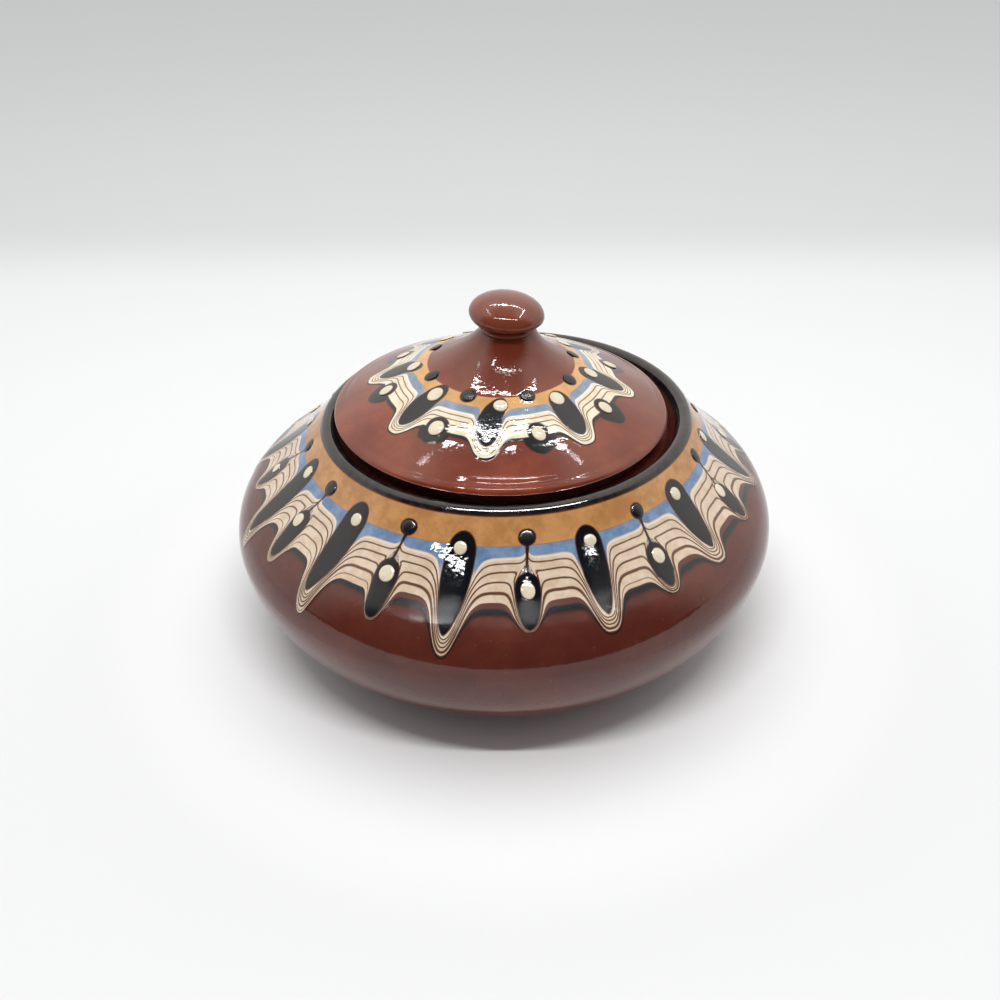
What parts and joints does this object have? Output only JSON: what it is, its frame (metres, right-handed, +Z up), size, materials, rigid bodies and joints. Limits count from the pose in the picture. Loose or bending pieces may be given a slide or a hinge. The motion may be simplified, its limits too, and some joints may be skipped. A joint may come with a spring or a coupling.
{
  "type": "lidded candy dish",
  "caption": "Squat lidded dish of glazed red earthenware with a drip-slip pattern, a gallery inside the rim for the lid, and a mushroom knob to lift it by.",
  "frame": {"origin": "middle of the foot ring's resting face, on the table", "axes": "+Z up along the turning axis of the bowl, -Y towards the side with the longest slip drip, +X to the right as seen from there"},
  "size_m": [0.165, 0.165, 0.1074],
  "materials": {
    "bowl_redware_glaze": "clear gloss glaze over red clay with trailed slips",
    "lid_redware_glaze": "clear gloss glaze over red clay with trailed slips",
    "knob_redware_glaze": "clear gloss glaze over red clay"
  },
  "bodies": {
    "bowl": {"bowl": "bowl_redware_glaze"},
    "lid": {"lid": "lid_redware_glaze", "lid_knob": "knob_redware_glaze"}
  },
  "joints": [
    {"name": "lid_lift", "type": "slide", "parent": "bowl", "child": "lid", "axis": [0, 0, 1], "range_m": [0, 0.12]}
  ]
}
